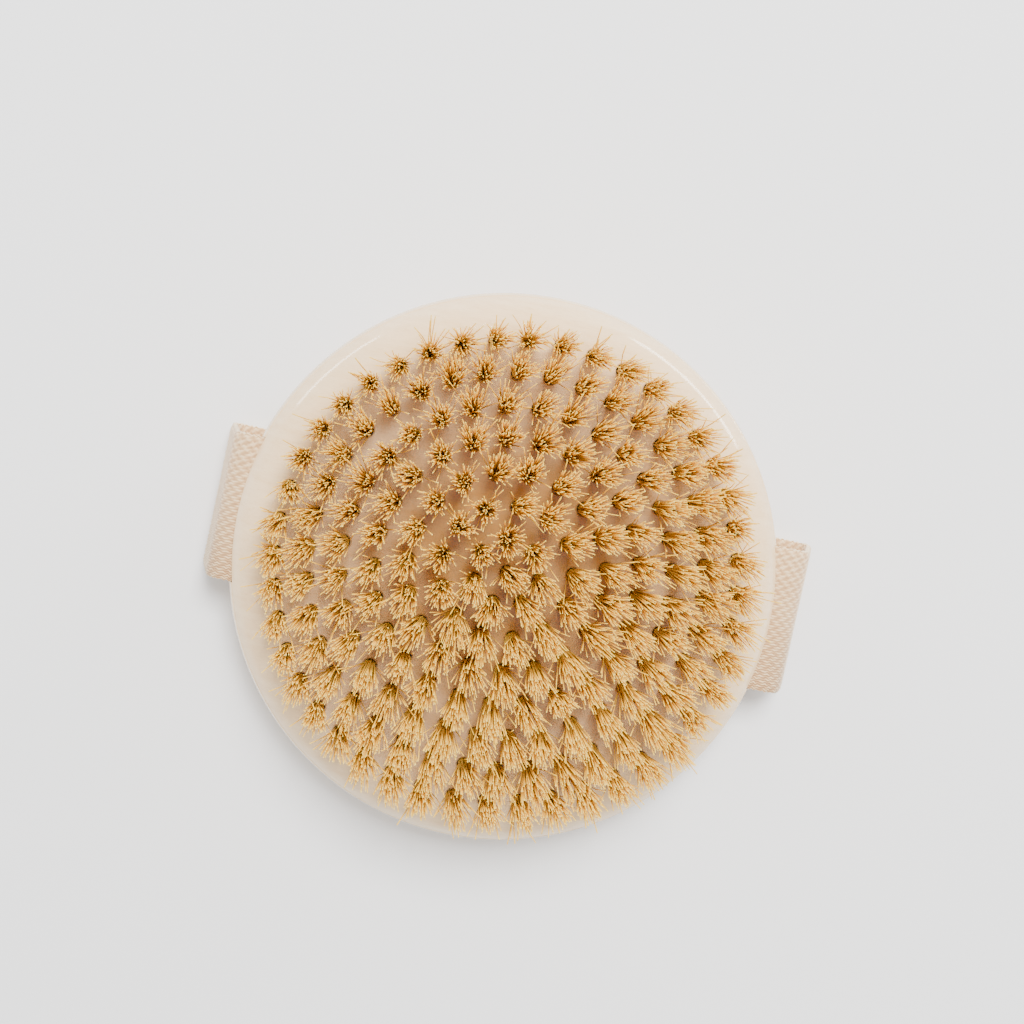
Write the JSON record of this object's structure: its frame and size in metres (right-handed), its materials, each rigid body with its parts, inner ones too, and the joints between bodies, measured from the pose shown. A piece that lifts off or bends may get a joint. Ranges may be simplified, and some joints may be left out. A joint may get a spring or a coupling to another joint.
{
  "type": "body dry brush",
  "caption": "Round wooden body brush with rings of stiff plant-fibre tufts on its flat face and a flat webbing hand strap under its back.",
  "frame": {"origin": "on the axis of the round body, in the plane that the strap rests on under the back", "axes": "+Z along the body's axis towards the bristle tips, +X along the strap, +Y across it"},
  "size_m": [0.134, 0.12, 0.0463],
  "materials": {
    "wood": "clear gloss lacquer",
    "bristle": "natural plant fibre",
    "draw_wire": "drawn wire",
    "webbing": "woven cotton",
    "staple": "plated wire"
  },
  "bodies": {
    "root": {"bristle_plate": "wood", "back_cover": "wood", "tuft_centre": "bristle", "tufts_ring_1": "bristle", "tufts_ring_2": "bristle", "tufts_ring_3": "bristle", "tufts_ring_4": "bristle", "tufts_ring_5": "bristle", "tufts_ring_6": "bristle", "tufts_ring_7": "bristle", "draw_wire_centre": "draw_wire", "draw_wire_ring_1": "draw_wire", "draw_wire_ring_2": "draw_wire", "draw_wire_ring_3": "draw_wire", "draw_wire_ring_4": "draw_wire", "draw_wire_ring_5": "draw_wire", "draw_wire_ring_6": "draw_wire", "draw_wire_ring_7": "draw_wire", "strap": "webbing", "strap_staples_left": "staple", "strap_staples_right": "staple"}
  },
  "joints": []
}
